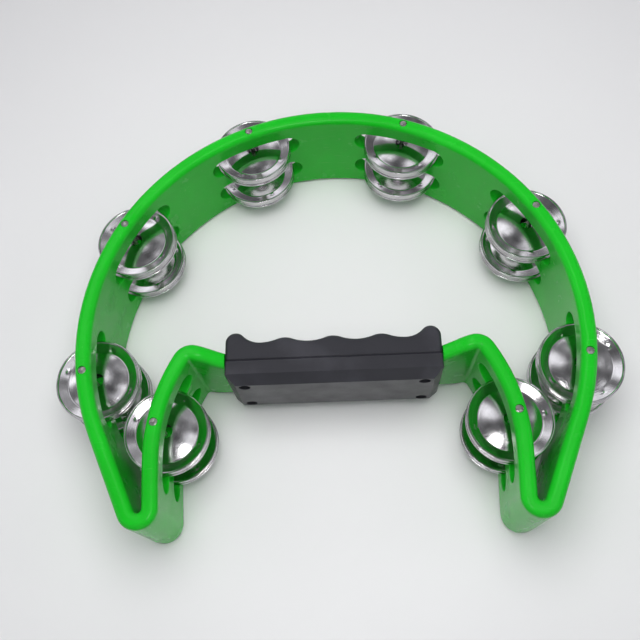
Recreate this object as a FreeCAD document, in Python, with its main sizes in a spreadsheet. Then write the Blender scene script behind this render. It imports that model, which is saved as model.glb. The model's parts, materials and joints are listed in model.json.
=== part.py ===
import FreeCAD, Part
import Sketcher
import math
import os

# Half-moon tambourine with a closed handle: a moulded band, a two-part grip on its bar,
# eight pins, and thirty-two jingles that hang in pairs on the pins.
# The body design frame has its origin at the centre of the big arc, on the floor.
# Every body is then moved along Y so that the middle of the whole instrument is the origin.

doc = FreeCAD.newDocument("Tambourine")
V = FreeCAD.Vector

# ---------------------------------------------------------------- driving dimensions
sheet = doc.addObject("Spreadsheet::Sheet", "Dims")
dimensions = [
    ("band_radius", 130.0, "outside radius of the big arc"),
    ("band_wall", 8.0, "thickness of the moulded band"),
    ("band_height", 60.0, "height of the band"),
    ("band_rounding", 3.2, "rounding of the band's top and bottom edges"),
    ("arc_drop", 23.7, "angle below the X axis where the arc runs into the flank"),
    ("lobe_radius", 9.9, "outside radius of the narrow lobe"),
    ("lobe_front", 97.0, "distance of the lobe's tip in front of the arc centre"),
    ("leg_heading", 87.0, "direction of the straight part of the inner leg"),
    ("leg_straight", 21.5, "length of the straight part of the inner leg"),
    ("leg_radius", 93.0, "middle radius of the curved part of the inner leg"),
    ("leg_turn_end", 120.0, "direction where the leg meets the shoulder bend"),
    ("shoulder_radius", 6.0, "middle radius of the shoulder bend"),
    ("dip_heading", 11.5, "slope of the run from the shoulder down to the bar"),
    ("blend_radius", 20.0, "middle radius of the last blend before the bar"),
    ("bar_front", 18.0, "distance of the bar's front face from the arc centre"),
    ("taper_start", 71.0, "half width where the band starts to get lower"),
    ("taper_radius", 15.0, "rounding at the start of the taper"),
    ("taper_slope", 30.0, "slope of the taper"),
    ("tenon_height", 38.0, "height of the bar inside the grip"),
    ("slot_height", 13.5, "height of a jingle slot"),
    ("slot_length", 52.5, "length of a jingle slot in the arc"),
    ("slot_length_leg", 61.0, "length of a jingle slot in the leg"),
    ("slot_rounding", 0.6, "rounding of the slot edges"),
    ("row_low", 18.0, "height of the lower row's middle"),
    ("row_high", 42.0, "height of the upper row's middle"),
    ("station_top", 70.0, "angle of the station near the top of the arc"),
    ("station_side", 30.0, "angle of the station at the side of the arc"),
    ("station_low", -8.6, "angle of the station low on the arc"),
    ("station_leg", 8.63, "angle of the station on the leg's own arc"),
    ("pin_diameter", 2.5, "jingle pin"),
    ("pin_bore", 2.6, "hole for the pin"),
    ("pin_head", 4.0, "head of the pin"),
    ("pin_recess", 4.2, "recess for the head of the pin"),
    ("pin_recess_depth", 0.8, "depth of the recess"),
    ("jingle_diameter", 43.5, "outside diameter of a jingle"),
    ("jingle_sheet", 0.6, "sheet thickness of a jingle"),
    ("jingle_hole", 7.0, "centre hole of a jingle"),
    ("jingle_valley", 15.9, "radius of the valley between dome and ring"),
    ("jingle_dome", 46.0, "ball radius of the dome"),
    ("jingle_bend", 1.6, "bend radius in the valley"),
    ("jingle_flare", 22.0, "slope of the outer ring"),
    ("jingle_bead", 1.0, "thickness of the rolled rim"),
    ("jingle_rest", 0.7, "height of a resting rim over the slot floor; it touches the round ends first"),
    ("fit_gap", 0.1, "gap between neighbouring pieces"),
    ("grip_half", 54.8, "half length of the grip"),
    ("grip_floor", 8.0, "height of the grip's underside"),
    ("grip_depth", 44.0, "height of the grip from underside to top"),
    ("grip_seam", 14.0, "distance of the seam in front of the arc centre"),
    ("grip_palm", 26.3, "distance of the palm face in front of the arc centre"),
    ("grip_bevel", 4.8, "bevel round the palm face"),
    ("grip_wall", 2.5, "wall of the grip shells"),
    ("seam_bevel", 0.6, "small bevel along the seam"),
    ("corner_radius", 5.2, "radius of the grip's end corner"),
    ("corner_reach", 1.0, "how far the end crest stands behind the arc centre"),
    ("groove_pitch", 12.25, "distance from a crest to the next groove"),
    ("groove_outer", 37.0, "place of the outer finger groove"),
    ("groove_depth", 4.5, "distance of the groove bottoms from the arc centre line"),
    ("crest_radius", 11.0, "radius of a crest between two fingers"),
    ("crest_depth", 2.2, "distance of the crests from the arc centre line"),
    ("finger_rounding", 2.0, "rounding of the wavy edges"),
    ("screw_place", 45.5, "half distance between the grip screws along the grip"),
    ("screw_spread", 13.9, "screw distance above and below the grip's middle"),
    ("screw_shank", 2.9, "grip screw shank"),
    ("screw_head", 5.5, "grip screw head"),
    ("screw_pilot", 3.0, "pilot hole for the screw"),
    ("screw_clear", 3.6, "clearance hole for the screw"),
    ("screw_recess", 6.0, "counterbore for the screw head"),
    ("screw_recess_depth", 3.5, "depth of the counterbore"),
]
# how the jingles of each station happen to lie on their loose pin: the shift away from the
# arc's centre, which the hole allows, and the lean with the outer side down
resting = {
    "left_top": (0.0, 3.5), "left_side": (-1.6, 2.0), "left_low": (-2.0, 0.5), "left_leg": (-2.0, 0.5),
    "right_top": (-0.5, 4.0), "right_side": (-1.9, 2.0), "right_low": (0.3, 0.5), "right_leg": (-0.9, 0.5),
}
for key, (shift, lean) in resting.items():
    dimensions.append(("shift_" + key, shift, "resting shift of the %s jingles" % key.replace("_", " ")))
    dimensions.append(("lean_" + key, lean, "resting lean of the %s jingles" % key.replace("_", " ")))
dim = {}
for row, (alias, value, meaning) in enumerate(dimensions, start=1):
    sheet.set("A%d" % row, meaning)
    sheet.set("B%d" % row, str(value))
    sheet.setAlias("B%d" % row, alias)
    dim[alias] = value
doc.recompute()


# ---------------------------------------------------------------- small helpers
def direction(degrees):
    return V(math.cos(math.radians(degrees)), math.sin(math.radians(degrees)), 0)


def left_of(heading):
    return direction(heading + 90)


def new_body(name, x="0 mm", y="0 mm"):
    """A body whose frame stands at x, y seen from the centre of the big arc."""
    body = doc.addObject("PartDesign::Body", name)
    body.Label = name
    body.setExpression("Placement.Base.x", x)
    body.setExpression("Placement.Base.y", MIDDLE_SHIFT + " + " + y)
    return body


def lifted(z):
    return FreeCAD.Placement(V(0, 0, z), FreeCAD.Rotation())


def origin_item(body, role):
    for item in body.Origin.OriginFeatures:
        if item.Role == role:
            return item


def new_sketch(body, name, role, offset=None):
    sketch = body.newObject("Sketcher::SketchObject", name)
    sketch.AttachmentSupport = [(origin_item(body, role), "")]
    sketch.MapMode = "FlatFace"
    if offset is not None:
        sketch.AttachmentOffset = offset
    return sketch


def arc(sketch, centre, radius, start, end):
    circle = Part.Circle(V(centre.x, centre.y, 0), V(0, 0, 1), radius)
    return sketch.addGeometry(Part.ArcOfCircle(circle, math.radians(start), math.radians(end)), False)


def line(sketch, start, end):
    return sketch.addGeometry(Part.LineSegment(V(start.x, start.y, 0), V(end.x, end.y, 0)), False)


def relate(sketch, kind, *args):
    return sketch.addConstraint(Sketcher.Constraint(kind, *args))


def measure(sketch, name, expression, kind, *args):
    index = sketch.addConstraint(Sketcher.Constraint(kind, *args))
    sketch.renameConstraint(index, name)
    sketch.setExpression("Constraints." + name, expression)
    return index


def rectangle(sketch, left, right, low, high):
    """A rectangle given by four (value, expression) sides, measured from the sketch origin."""
    places = ((left, low), (right, low), (right, high), (left, high))
    corners = [V(x[0], y[0], 0) for x, y in places]
    sides = [line(sketch, corners[i], corners[(i + 1) % 4]) for i in range(4)]
    for i in range(4):
        relate(sketch, "Coincident", sides[i], 2, sides[(i + 1) % 4], 1)
        relate(sketch, "Horizontal" if i % 2 == 0 else "Vertical", sides[i])
    tag = "side%d" % sides[0]
    measure(sketch, tag + "left", left[1], "DistanceX", -1, 1, sides[0], 1, left[0])
    measure(sketch, tag + "right", right[1], "DistanceX", -1, 1, sides[1], 1, right[0])
    measure(sketch, tag + "low", low[1], "DistanceY", -1, 1, sides[0], 1, low[0])
    measure(sketch, tag + "high", high[1], "DistanceY", -1, 1, sides[2], 1, high[0])


def disc(sketch, x, y, radius):
    """A full circle; x, y and radius are (value, expression) pairs."""
    circle = sketch.addGeometry(Part.Circle(V(x[0], y[0], 0), V(0, 0, 1), radius[0]), False)
    measure(sketch, "disc%dx" % circle, x[1], "DistanceX", -1, 1, circle, 3, x[0])
    measure(sketch, "disc%dy" % circle, y[1], "DistanceY", -1, 1, circle, 3, y[0])
    measure(sketch, "disc%dr" % circle, radius[1], "Radius", circle, radius[0])


def pad(body, name, sketch, expression):
    feature = body.newObject("PartDesign::Pad", name)
    feature.Profile = sketch
    feature.setExpression("Length", expression)
    return feature


def pocket(body, name, sketch, length, both_ways=False, reverse=False):
    feature = body.newObject("PartDesign::Pocket", name)
    feature.Profile = sketch
    feature.Length = length
    feature.SideType = "Symmetric" if both_ways else "One side"
    feature.Reversed = reverse
    doc.recompute()
    return feature


def dress(body, name, kind, base, edges, amount, expression):
    """A fillet or chamfer on the listed edges of the feature before it."""
    feature = body.newObject("PartDesign::" + kind, name)
    feature.Base = (base, edges)
    prop = "Radius" if kind == "Fillet" else "Size"
    setattr(feature, prop, amount)
    feature.setExpression(prop, expression)
    doc.recompute()
    return feature


def edges_where(shape, test):
    return ["Edge%d" % (i + 1) for i, edge in enumerate(shape.Edges) if test(edge)]


def edges_between(shape, is_one, is_other):
    """Names of edges with a face of the first kind on one side and of the second kind on the other."""
    sides = {}
    for face in shape.Faces:
        one, other = is_one(face), is_other(face)
        if not (one or other):
            continue
        for edge in face.Edges:
            found = sides.setdefault(edge.hashCode(), set())
            if one:
                found.add("one")
            if other:
                found.add("other")
    names = []
    for i, edge in enumerate(shape.Edges):
        if sides.get(edge.hashCode(), set()) == {"one", "other"}:
            names.append("Edge%d" % (i + 1))
    return names


def normal_of(face):
    u0, u1, v0, v1 = face.ParameterRange
    return face.normalAt((u0 + u1) / 2, (v0 + v1) / 2)


# ---------------------------------------------------------------- places on the outline
WALL = dim["band_wall"]
HALF_WALL = WALL / 2
MIDDLE = dim["band_radius"] - WALL / 2
DROP = dim["arc_drop"]
LOBE_MID = dim["lobe_radius"] - WALL / 2
lobe_y = dim["lobe_radius"] - dim["lobe_front"]
lobe_x = (MIDDLE - LOBE_MID + lobe_y * math.sin(math.radians(DROP))) / math.cos(math.radians(DROP))
lobe = V(lobe_x, lobe_y, 0)
leg_h = dim["leg_heading"]
turn_h = dim["leg_turn_end"]
dip_h = 180 + dim["dip_heading"]
leg_r = dim["leg_radius"]
bend_r = dim["shoulder_radius"]
blend_r = dim["blend_radius"]
leg_centre = lobe + left_of(leg_h) * (LOBE_MID + leg_r) + direction(leg_h) * dim["leg_straight"]
bend_centre = leg_centre - left_of(turn_h) * (leg_r - bend_r)
blend_y = WALL / 2 - dim["bar_front"] + blend_r
dip_from = bend_centre - left_of(dip_h) * bend_r
dip_length = (blend_y + left_of(dip_h).y * blend_r - dip_from.y) / direction(dip_h).y
blend_centre = dip_from + direction(dip_h) * dip_length - left_of(dip_h) * blend_r

# the instrument's middle: halfway from the lobe tips to the farthest jingle rim
MIDDLE_SHIFT = (
    "(Dims.lobe_front - (Dims.band_radius - Dims.band_wall / 2) * sin(Dims.station_top * 1 deg)"
    " - Dims.jingle_diameter / 2) / 2 * 1 mm"
)


# ---------------------------------------------------------------- frame
def band_side(sketch, side):
    """One side of the band from the Y axis at the top round to the Y axis at the bar.

    side is +half the wall for the outside of the loop and -half the wall for its inside.
    Returns the geometry numbers in order.
    """
    flank = direction(-DROP)
    big = arc(sketch, V(0, 0, 0), MIDDLE + side, -DROP, 90)
    run = line(sketch, lobe + flank * (LOBE_MID + side), flank * (MIDDLE + side))
    tip = arc(sketch, lobe, LOBE_MID + side, leg_h + 90 - 360, -DROP)
    foot = lobe + left_of(leg_h) * (LOBE_MID + side)
    leg = line(sketch, foot, foot + direction(leg_h) * dim["leg_straight"])
    curve = arc(sketch, leg_centre, leg_r - side, leg_h - 90, turn_h - 90)
    bend = arc(sketch, bend_centre, bend_r - side, turn_h - 90, dip_h - 90)
    dip_start = bend_centre - left_of(dip_h) * (bend_r - side)
    dip = line(sketch, dip_start + direction(dip_h) * dip_length, dip_start)
    blend = arc(sketch, blend_centre, blend_r + side, 270, dip_h + 90)
    bar_y = blend_centre.y - blend_r - side
    bar = line(sketch, V(blend_centre.x, bar_y, 0), V(0, bar_y, 0))
    joins = [
        (big, 1, run, 2), (run, 1, tip, 2), (tip, 1, leg, 1), (leg, 2, curve, 1),
        (curve, 2, bend, 1), (bend, 2, dip, 2), (dip, 1, blend, 2), (blend, 1, bar, 1),
    ]
    for one, one_end, other, other_end in joins:
        relate(sketch, "Tangent", one, one_end, other, other_end)
    relate(sketch, "Coincident", big, 3, -1, 1)
    relate(sketch, "PointOnObject", big, 2, -2)
    relate(sketch, "PointOnObject", bar, 2, -2)
    relate(sketch, "Horizontal", bar)
    return big, run, tip, leg, curve, bend, dip, blend, bar


frame = new_body("frame")
outline = new_sketch(frame, "band_outline", "XY_Plane")
outer = band_side(outline, WALL / 2)
inner = band_side(outline, -WALL / 2)
close_top = line(outline, V(0, MIDDLE + WALL / 2, 0), V(0, MIDDLE - WALL / 2, 0))
close_bar = line(outline, V(0, -dim["bar_front"], 0), V(0, WALL - dim["bar_front"], 0))
relate(outline, "Coincident", close_top, 1, outer[0], 2)
relate(outline, "Coincident", close_top, 2, inner[0], 2)
relate(outline, "Coincident", close_bar, 1, outer[8], 2)
relate(outline, "Coincident", close_bar, 2, inner[8], 2)
for k in (2, 4, 5, 7):
    relate(outline, "Coincident", outer[k], 3, inner[k], 3)
measure(outline, "arc_outside", "Dims.band_radius", "Radius", outer[0], dim["band_radius"])
measure(outline, "arc_inside", "Dims.band_radius - Dims.band_wall", "Radius", inner[0], MIDDLE - WALL / 2)
measure(outline, "tip_outside", "Dims.lobe_radius", "Radius", outer[2], dim["lobe_radius"])
measure(outline, "tip_inside", "Dims.lobe_radius - Dims.band_wall", "Radius", inner[2], LOBE_MID - WALL / 2)
measure(outline, "tip_back", "Dims.lobe_front - Dims.lobe_radius", "DistanceY", outer[2], 3, -1, 1, -lobe_y)
measure(outline, "flank_angle", "90 - Dims.arc_drop", "Angle", outer[1], math.radians(90 - DROP))
measure(outline, "leg_angle", "Dims.leg_heading", "Angle", outer[3], math.radians(leg_h))
measure(outline, "leg_run", "Dims.leg_straight", "Distance", outer[3], dim["leg_straight"])
measure(outline, "leg_front", "Dims.leg_radius - Dims.band_wall / 2", "Radius", outer[4], leg_r - WALL / 2)
measure(outline, "leg_back", "Dims.leg_radius + Dims.band_wall / 2", "Radius", inner[4], leg_r + WALL / 2)
bend_in, blend_in, blend_out = bend_r - HALF_WALL, blend_r - HALF_WALL, blend_r + HALF_WALL
measure(outline, "bend_inside", "Dims.shoulder_radius - Dims.band_wall / 2", "Radius", outer[5], bend_in)
measure(outline, "blend_front", "Dims.blend_radius + Dims.band_wall / 2", "Radius", outer[7], blend_out)
measure(outline, "blend_back", "Dims.blend_radius - Dims.band_wall / 2", "Radius", inner[7], blend_in)
measure(outline, "bar_place", "Dims.bar_front", "DistanceY", outer[8], 2, -1, 1, dim["bar_front"])
measure(outline, "dip_angle", "Dims.dip_heading", "Angle", outer[6], math.radians(dim["dip_heading"]))
leg_sweep = math.radians(turn_h - leg_h)
measure(outline, "leg_sweep", "Dims.leg_turn_end - Dims.leg_heading", "Angle", outer[4], leg_sweep)
doc.recompute()

band = pad(frame, "band", outline, "Dims.band_height")
doc.recompute()

# beside the grip the band gets lower, above and below by the same amount,
# and inside the grip it is a lower plain bar
slope = math.radians(dim["taper_slope"])
top = dim["band_height"]
step_x = dim["grip_half"] + dim["fit_gap"]
for name, mirrored in (("taper_over", False), ("taper_under", True)):
    taper = new_sketch(frame, name + "_outline", "XZ_Plane")

    def at(x, z):
        return V(x, top - z, 0) if mirrored else V(x, z, 0)

    radius = dim["taper_radius"]
    knee_x = dim["taper_start"] - radius * math.sin(slope)
    knee_z = top - radius * (1 - math.cos(slope))
    corners = [
        at(knee_x, knee_z),
        at(step_x, knee_z - (knee_x - step_x) * math.tan(slope)),
        at(step_x, (top + dim["tenon_height"]) / 2),
        at(0, (top + dim["tenon_height"]) / 2),
        at(0, top + 5),
        at(dim["taper_start"], top + 5),
        at(dim["taper_start"], top),
    ]
    sides = [line(taper, corners[i], corners[i + 1]) for i in range(6)]
    if mirrored:
        rounding = arc(taper, V(dim["taper_start"], radius, 0), radius, 240, 270)
        knee_end, start_end = 1, 2
    else:
        rounding = arc(taper, V(dim["taper_start"], top - radius, 0), radius, 90, 120)
        knee_end, start_end = 2, 1
    for i in range(5):
        relate(taper, "Coincident", sides[i], 2, sides[i + 1], 1)
    for i in (1, 3, 5):
        relate(taper, "Vertical", sides[i])
    for i in (2, 4):
        relate(taper, "Horizontal", sides[i])
    relate(taper, "Tangent", rounding, knee_end, sides[0], 1)
    relate(taper, "Coincident", sides[5], 2, rounding, start_end)
    relate(taper, "Vertical", rounding, 3, rounding, start_end)
    relate(taper, "PointOnObject", sides[3], 1, -2)
    measure(taper, "rounding", "Dims.taper_radius", "Radius", rounding, radius)
    measure(taper, "start", "Dims.taper_start", "DistanceX", -1, 1, rounding, start_end, dim["taper_start"])
    measure(taper, "step", "Dims.grip_half + Dims.fit_gap", "DistanceX", -1, 1, sides[1], 1, step_x)
    if mirrored:
        measure(taper, "slope", "180 - Dims.taper_slope", "Angle", sides[0], math.pi - slope)
    else:
        measure(taper, "slope", "180 + Dims.taper_slope", "Angle", sides[0], math.pi + slope)
    level = "(Dims.band_height %s Dims.tenon_height) / 2" % ("-" if mirrored else "+")
    measure(taper, "tenon", level, "DistanceY", -1, 1, sides[2], 1, corners[2].y)
    beyond = (sides[4], 1, -1, 1) if mirrored else (rounding, start_end, sides[4], 1)
    measure(taper, "clear", "5", "DistanceY", *beyond, 5)
    if mirrored:
        relate(taper, "PointOnObject", rounding, start_end, -1)
    else:
        measure(taper, "level", "Dims.band_height", "DistanceY", -1, 1, rounding, start_end, top)
    pocket(frame, name, taper, 60.0, both_ways=True)

# round the top and bottom edges of the band all along, up to the step at the grip
def is_square_to_x(face):
    return face.BoundBox.XLength < 1e-6


def is_level(face):
    return abs(normal_of(face).z) > 0.5 and face.BoundBox.XMax > step_x + 0.01


def is_upright(face):
    return abs(normal_of(face).z) < 0.5 and not is_square_to_x(face)


rims = edges_between(frame.Tip.Shape, is_level, is_upright)
dress(frame, "rim_rounding", "Fillet", frame.Tip, rims, dim["band_rounding"], "Dims.band_rounding")


# ---------------------------------------------------------------- stations
def arc_station(alias):
    reach = "(Dims.band_radius - Dims.band_wall / 2) * 1 mm"
    angle = "(Dims.%s * 1 deg)" % alias
    place = direction(dim[alias]) * MIDDLE
    return place, dim[alias], reach + " * cos" + angle, reach + " * sin" + angle


leg_place = leg_centre + direction(dim["station_leg"]) * leg_r
stations = {
    "top": arc_station("station_top"),
    "side": arc_station("station_side"),
    "low": arc_station("station_low"),
    "leg": (leg_place, dim["station_leg"], "%.4f mm" % leg_place.x, "%.4f mm" % leg_place.y),
}


def slot(sketch, tag, level, level_name, length, length_name):
    """A long hole with round ends, level with the floor and centred on the station."""
    r = dim["slot_height"] / 2
    c = length / 2 - r
    under = line(sketch, V(-c, level - r, 0), V(c, level - r, 0))
    right = arc(sketch, V(c, level, 0), r, -90, 90)
    over = line(sketch, V(c, level + r, 0), V(-c, level + r, 0))
    left = arc(sketch, V(-c, level, 0), r, 90, 270)
    relate(sketch, "Tangent", under, 2, right, 1)
    relate(sketch, "Tangent", right, 2, over, 1)
    relate(sketch, "Tangent", over, 2, left, 1)
    relate(sketch, "Tangent", left, 2, under, 1)
    relate(sketch, "Horizontal", under)
    relate(sketch, "Equal", right, left)
    half = "(Dims.%s - Dims.slot_height) / 2" % length_name
    measure(sketch, tag + "_round", "Dims.slot_height / 2", "Radius", right, r)
    measure(sketch, tag + "_level", "Dims." + level_name, "DistanceY", -1, 1, right, 3, level)
    measure(sketch, tag + "_right", half, "DistanceX", -1, 1, right, 3, c)
    measure(sketch, tag + "_left", half, "DistanceX", left, 3, -1, 1, c)


# two slots at each station, cut square to the band; the band curves away on its inner side
for key, (place, angle, x_text, y_text) in stations.items():
    is_leg = key == "leg"
    inset = 3.0 if is_leg else 1.5
    centre = place - direction(angle) * inset
    turned = FreeCAD.Placement(V(centre.x, 0, -centre.y), FreeCAD.Rotation(V(0, 1, 0), angle + 90))
    slots = new_sketch(frame, "slots_" + key + "_outline", "XZ_Plane", turned)
    length_name = "slot_length_leg" if is_leg else "slot_length"
    slot(slots, "under", dim["row_low"], "row_low", dim[length_name], length_name)
    slot(slots, "over", dim["row_high"], "row_high", dim[length_name], length_name)
    pocket(frame, "slots_" + key, slots, 16.0 if is_leg else 13.0, both_ways=True)

slot_low = dim["row_low"] - dim["slot_height"] / 2
slot_top = dim["row_high"] + dim["slot_height"] / 2


def is_slot_wall(face):
    box = face.BoundBox
    return box.ZMin > slot_low - 0.01 and box.ZMax < slot_top + 0.01 and box.XMin > step_x / 2


def is_band_wall(face):
    return is_upright(face) and face.BoundBox.ZLength > 45


lips = edges_between(frame.Tip.Shape, is_slot_wall, is_band_wall)
dress(frame, "slot_rounding", "Fillet", frame.Tip, lips, dim["slot_rounding"], "Dims.slot_rounding")

# a bore for the pin at each station, with a shallow recess for its head
bores = new_sketch(frame, "pin_bores_outline", "XY_Plane")
recesses = new_sketch(frame, "pin_recesses_outline", "XY_Plane", lifted(top))
recesses.setExpression("AttachmentOffset.Base.z", "Dims.band_height * 1 mm")
for key, (place, angle, x_text, y_text) in stations.items():
    for sketch, alias in ((bores, "pin_bore"), (recesses, "pin_recess")):
        ring = sketch.addGeometry(Part.Circle(V(place.x, place.y, 0), V(0, 0, 1), dim[alias] / 2), False)
        measure(sketch, key + "_size", "Dims.%s / 2" % alias, "Radius", ring, dim[alias] / 2)
        measure(sketch, key + "_x", x_text, "DistanceX", -1, 1, ring, 3, place.x)
        measure(sketch, key + "_y", y_text, "DistanceY", -1, 1, ring, 3, place.y)
pocket(frame, "pin_bores", bores, top, reverse=True)
pocket(frame, "pin_recesses", recesses, dim["pin_recess_depth"])

# clearance holes for the grip screws through the bar
middle_z = dim["grip_floor"] + dim["grip_depth"] / 2


def screw_rings(sketch, alias):
    for tag, sign in (("under", -1), ("over", 1)):
        level = "Dims.grip_floor + Dims.grip_depth / 2 %s Dims.screw_spread" % ("+" if sign > 0 else "-")
        disc(sketch, (dim["screw_place"], "Dims.screw_place"), (middle_z + sign * dim["screw_spread"], level),
             (dim[alias] / 2, "Dims.%s / 2" % alias))


bar_holes = new_sketch(frame, "bar_holes_outline", "XZ_Plane")
screw_rings(bar_holes, "screw_clear")
pocket(frame, "bar_holes", bar_holes, 60.0, both_ways=True)


def mirror_whole(body):
    half = body.Tip.Shape.Volume
    feature = body.newObject("PartDesign::Mirrored", body.Name + "_both_halves")
    feature.TransformMode = "Whole shape"
    feature.MirrorPlane = (origin_item(body, "YZ_Plane"), [""])
    body.Tip = feature
    doc.recompute()
    assert abs(feature.Shape.Volume / (2 * half) - 1) < 1e-4, body.Name


mirror_whole(frame)


# ---------------------------------------------------------------- grip shells
def seam_sketch(body, name, y):
    """A sketch on an upright plane at y; its own Y runs up, its normal points to the palm side."""
    return new_sketch(body, name, "XZ_Plane", lifted(-y))


HALF = dim["grip_half"]
SEAM = -dim["grip_seam"]
PALM = -dim["grip_palm"]
BAR_BACK = WALL - dim["bar_front"]
GAP = dim["fit_gap"]
bar_low = middle_z - dim["tenon_height"] / 2 - GAP
bar_high = middle_z + dim["tenon_height"] / 2 + GAP
bar_low_text = "Dims.grip_floor + Dims.grip_depth / 2 - Dims.tenon_height / 2 - Dims.fit_gap"
bar_high_text = "Dims.grip_floor + Dims.grip_depth / 2 + Dims.tenon_height / 2 + Dims.fit_gap"


def hollow_out(body, toward_palm, bar_depth, room_depth, hole_alias, hole_depth):
    """The bar's channel, a lighter room beside a middle rib, and the screw holes, cut from the seam."""
    solid_volume = body.Tip.Shape.Volume
    channel = seam_sketch(body, body.Name + "_channel_outline", SEAM)
    rectangle(channel, (0, "0"), (HALF + 2, "Dims.grip_half + 2"), (bar_low, bar_low_text),
              (bar_high, bar_high_text))
    pocket(body, body.Name + "_channel", channel, bar_depth, reverse=toward_palm)
    room = seam_sketch(body, body.Name + "_room_outline", SEAM)
    rectangle(room, (1.5, "1.5"), (39.0, "39"), (bar_low + 2, bar_low_text + " + 2"),
              (bar_high - 2, bar_high_text + " - 2"))
    pocket(body, body.Name + "_room", room, room_depth, reverse=toward_palm)
    holes = seam_sketch(body, body.Name + "_holes_outline", SEAM)
    screw_rings(holes, hole_alias)
    pocket(body, body.Name + "_holes", holes, hole_depth, reverse=toward_palm)
    removed = solid_volume - body.Tip.Shape.Volume
    assert removed > (HALF - 1) * bar_depth * dim["tenon_height"], body.Name


def on_seam(edge):
    box = edge.BoundBox
    return box.YLength < 1e-6 and abs(box.YMin - SEAM) < 1e-6 and box.XMax > 1e-3


palm = new_body("grip_palm_shell")
palm_outline = new_sketch(palm, "palm_outline", "XY_Plane", lifted(dim["grip_floor"]))
palm_outline.setExpression("AttachmentOffset.Base.z", "Dims.grip_floor * 1 mm")
rectangle(palm_outline, (0, "0"), (HALF, "Dims.grip_half"), (PALM, "-Dims.grip_palm"),
          (SEAM, "-Dims.grip_seam"))
pad(palm, "palm_block", palm_outline, "Dims.grip_depth")
doc.recompute()
face_edges = edges_where(palm.Tip.Shape, lambda e: e.BoundBox.YMax < PALM + 1e-6 and e.BoundBox.XMax > 1e-3)
dress(palm, "palm_bevel", "Chamfer", palm.Tip, face_edges, dim["grip_bevel"], "Dims.grip_bevel")
long_edges = edges_where(palm.Tip.Shape, lambda e: e.BoundBox.YLength > 7 and e.BoundBox.XMin > HALF - 0.01)
dress(palm, "palm_corners", "Fillet", palm.Tip, long_edges, 1.0, "1 mm")
dress(palm, "palm_seam_bevel", "Chamfer", palm.Tip, edges_where(palm.Tip.Shape, on_seam), dim["seam_bevel"],
      "Dims.seam_bevel")
BAR_FRONT = -dim["bar_front"]
hollow_out(palm, True, SEAM - BAR_FRONT + GAP, SEAM - PALM - dim["grip_wall"], "screw_clear", SEAM - PALM)
counterbores = seam_sketch(palm, "counterbores_outline", PALM)
screw_rings(counterbores, "screw_recess")
pocket(palm, "counterbores", counterbores, dim["screw_recess_depth"])
mirror_whole(palm)

# the finger side has a row of shallow grooves between rounded crests
finger = new_body("grip_finger_shell")
wave = new_sketch(finger, "finger_outline", "XY_Plane", lifted(dim["grip_floor"]))
wave.setExpression("AttachmentOffset.Base.z", "Dims.grip_floor * 1 mm")
crest_r = dim["crest_radius"]
pitch = dim["groove_pitch"]
crest_y = -dim["crest_depth"] - crest_r
floor_y = -dim["groove_depth"]
rise = floor_y - crest_y
corner_r = dim["corner_radius"]
corner = V(HALF - corner_r, dim["corner_reach"] - corner_r, 0)
groove_x = dim["groove_outer"]


def groove_radius(across, over_crest, radius):
    """Radius of a groove arc that touches the floor line and a crest arc standing across from it."""
    return (across ** 2 + over_crest ** 2 - radius ** 2) / (2 * (radius - over_crest))


end_r = groove_radius(corner.x - groove_x, floor_y - corner.y, corner_r)
near_r = groove_radius(groove_x - 2 * pitch, rise, crest_r)
mid_r = groove_radius(pitch, rise, crest_r)
end_groove = V(groove_x, floor_y + end_r, 0)
near_groove = V(groove_x, floor_y + near_r, 0)
mid_groove = V(pitch, floor_y + mid_r, 0)
outer_crest = V(2 * pitch, crest_y, 0)


def bearing(start, end):
    return math.degrees(math.atan2(end.y - start.y, end.x - start.x))


base = line(wave, V(0, SEAM, 0), V(HALF, SEAM, 0))
end_wall = line(wave, V(HALF, SEAM, 0), V(HALF, corner.y, 0))
corner_arc = arc(wave, corner, corner_r, 0, bearing(corner, end_groove))
end_arc = arc(wave, end_groove, end_r, 270, bearing(corner, end_groove) + 180)
near_arc = arc(wave, near_groove, near_r, bearing(outer_crest, near_groove) + 180, 270)
to_middle = bearing(outer_crest, mid_groove)
crest_arc = arc(wave, outer_crest, crest_r, bearing(outer_crest, near_groove), to_middle)
mid_arc = arc(wave, mid_groove, mid_r, 360 - to_middle, 180 + to_middle)
last_arc = arc(wave, V(0, crest_y, 0), crest_r, 180 - to_middle, 90)
close_wave = line(wave, V(0, crest_y + crest_r, 0), V(0, SEAM, 0))
relate(wave, "Coincident", base, 2, end_wall, 1)
relate(wave, "Tangent", end_wall, 2, corner_arc, 1)
relate(wave, "Tangent", corner_arc, 2, end_arc, 2)
relate(wave, "Tangent", end_arc, 1, near_arc, 2)
relate(wave, "Tangent", near_arc, 1, crest_arc, 1)
relate(wave, "Tangent", crest_arc, 2, mid_arc, 2)
relate(wave, "Tangent", mid_arc, 1, last_arc, 1)
relate(wave, "Coincident", last_arc, 2, close_wave, 1)
relate(wave, "Coincident", close_wave, 2, base, 1)
relate(wave, "Horizontal", base)
relate(wave, "Vertical", end_wall)
relate(wave, "PointOnObject", base, 1, -2)
relate(wave, "PointOnObject", last_arc, 2, -2)
relate(wave, "PointOnObject", last_arc, 3, -2)
measure(wave, "seam", "Dims.grip_seam", "DistanceY", base, 1, -1, 1, dim["grip_seam"])
measure(wave, "half_length", "Dims.grip_half", "DistanceX", -1, 1, end_wall, 1, HALF)
measure(wave, "corner_round", "Dims.corner_radius", "Radius", corner_arc, corner_r)
measure(wave, "corner_back", "Dims.corner_radius - Dims.corner_reach", "DistanceY", corner_arc, 3, -1, 1,
        -corner.y)
measure(wave, "outer_groove", "Dims.groove_outer", "DistanceX", -1, 1, end_arc, 3, groove_x)
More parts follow.
